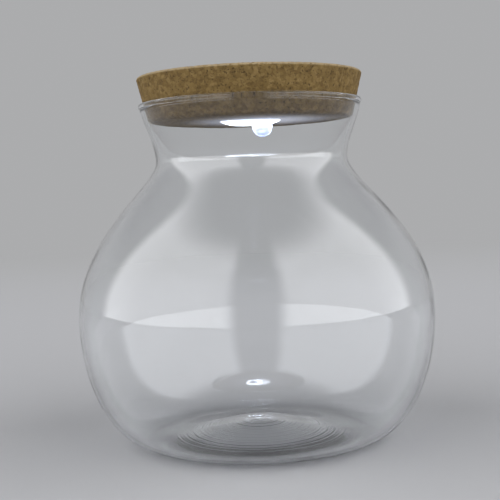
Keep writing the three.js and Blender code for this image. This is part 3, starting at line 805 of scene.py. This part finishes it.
def button(material):
    """A dished button with a lip that the cap holds down, and a stem that reaches the switch."""
    lip, low, top = round_size("push_button")
    radius = lip - BUTTON_LIP
    lip_top = cap_under - SEAT_GAP
    lip_under = lip_top - BUTTON_LIP_THICKNESS
    crest = radius - BUTTON_RIM
    dish = top - BUTTON_DISH
    edge_middle = (radius - BUTTON_EDGE, top - BUTTON_EDGE)
    piece = turn("button", [
        (0, low), (STEM_RADIUS, low), (STEM_RADIUS, lip_under), (lip, lip_under), (lip, lip_top),
        (radius, lip_top), *arc(edge_middle, (BUTTON_EDGE, BUTTON_EDGE), 0, 90, BUTTON_EDGE_STEPS),
        *curve((crest, top), (DISH_HANDLES[0] * crest, top), (DISH_HANDLES[1] * crest, dish), (0, dish),
               DISH_STEPS)], LAMP_SIDES)
    smooth(piece)
    dress(piece, material, "button", "push_button")


# CAD nodes that stay as they are

def three(name):
    """The names of the three nodes of a kind."""
    return [f"{name}_{i}" for i in (1, 2, 3)]


def finish_nodes(material, *names):
    """Gives CAD nodes a new finish."""
    for name in names:
        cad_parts[name].material_slots[0].material = material


# Studio

def light_path(wire, *names):
    """What a ray of light has gone through, under these names."""
    return [wire.node("LightPath", output=name) for name in names]


def seen_directly(wire):
    """1 for the rays that show a thing to the eye, straight, mirrored or through glass, and 0 for light."""
    straight, mirrored, through = light_path(wire, "Is Camera Ray", "Is Glossy Ray", "Is Transmission Ray")
    return wire.math("MAXIMUM", straight, wire.math("MAXIMUM", mirrored, through))


def bounced(wire):
    """0 for the rays that come straight from the eye or through glass, and 1 for the rest and for light."""
    straight, through = light_path(wire, "Is Camera Ray", "Is Transmission Ray")
    mirrored, scattered = light_path(wire, "Glossy Depth", "Diffuse Depth")
    return wire.math("ADD", 1 - wire.math("MAXIMUM", straight, through), mirrored + scattered, clamp=True)


def studio_floor():
    """A round floor that keeps the bottle's shadow and runs into the backdrop far away."""
    bpy.ops.object.select_all(action="DESELECT")
    bpy.ops.mesh.primitive_circle_add(vertices=FLOOR_SIDES, radius=FLOOR_SIZE, fill_type="NGON",
                                      location=(0, 0, -FLOOR_DROP))
    floor = bpy.context.object
    floor.name = "floor"
    material, wire = new_finish("floor")
    away = wire.node("VectorMath", {0: place(wire)}, operation="LENGTH", output="Value")
    fade = away.above(FLOOR_FADE[0], FLOOR_FADE[1] - FLOOR_FADE[0]) * seen_directly(wire)
    near_floor = wire.node("BsdfPrincipled", {"Base Color": FLOOR_COLOR, "Roughness": 0.85})
    far_floor = wire.node("Emission", {"Color": BACKDROP})
    wire.node("OutputMaterial", {"Surface": wire.node("MixShader", {0: fade, 1: near_floor, 2: far_floor})})
    floor.data.materials.append(material)


def studio_world():
    """A pale backdrop all round, a dim ceiling above, and soft light from everywhere and from two panels."""
    world = bpy.data.worlds.new("studio")
    bpy.context.scene.world = world
    world.use_nodes = True
    world.node_tree.nodes.clear()
    wire = Wire(world.node_tree)
    direction = wire.node("TexCoord", output="Generated")
    across, along, height = [wire.node("SeparateXYZ", {0: direction}, output=axis) for axis in "XYZ"]
    turned = wire.math("ARCTAN2", wire.math("ABSOLUTE", across), 0 - along)
    panel = turned.above(PANEL_NEAR, PANEL_SOFT) * (1 - turned.above(PANEL_FAR, PANEL_SOFT))
    panel = panel * (1 - height.above(PANEL_HIGH, PANEL_SOFT)) * bounced(wire)
    shown = height.above(CEILING_EDGE, CEILING_SOFT).mix(BACKDROP, CEILING)
    color = panel.mix(seen_directly(wire).mix(DOME_LIGHT, shown), PANEL_LIGHT)
    wire.node("OutputWorld", {"Surface": wire.node("Background", {"Color": color, "Strength": 1.0})})


def studio_camera():
    """The camera, where the photo's was."""
    data = bpy.data.cameras.new("camera")
    data.lens = CAMERA_LENS
    camera = bpy.data.objects.new("camera", data)
    bpy.context.scene.collection.objects.link(camera)
    tilt = Matrix.Rotation(math.pi / 2 - CAMERA_PITCH, 4, "X") @ Matrix.Rotation(CAMERA_ROLL, 4, "Z")
    camera.matrix_world = Matrix.Translation(CAMERA_PLACE) @ tilt
    bpy.context.scene.camera = camera


white = satin_plastic("white_plastic", PLASTIC_WHITE)
black = satin_plastic("black_plastic", PLASTIC_BLACK)
steel = bright_metal("bright_steel", STEEL, 0.18)
nickel = bright_metal("nickel_plate", NICKEL, 0.25)
bottle(clear_glass())
cork(pressed_cork())
housing(white)
lens(lit_lens())
led(lit_epoxy())
cap(white)
button(white)
finish_nodes(white, "reflector_plate", "switch_plunger")
finish_nodes(black, "switch_body", "cell_tray", "resistor")
finish_nodes(rubber("black_rubber", SEAL_BLACK), "lens_seal", "cap_seal")
finish_nodes(rubber("grey_foam", FOAM_GREY), "cap_pad")
finish_nodes(green_board(), "led_board")
finish_nodes(nickel, "led_lead_anode", "led_lead_cathode", *three("cell_spring"), *three("cell_clip"))
finish_nodes(steel, *three("button_cell"), *three("tray_screw"))

studio_floor()
studio_world()
studio_camera()
bpy.context.scene.view_settings.view_transform = "Standard"
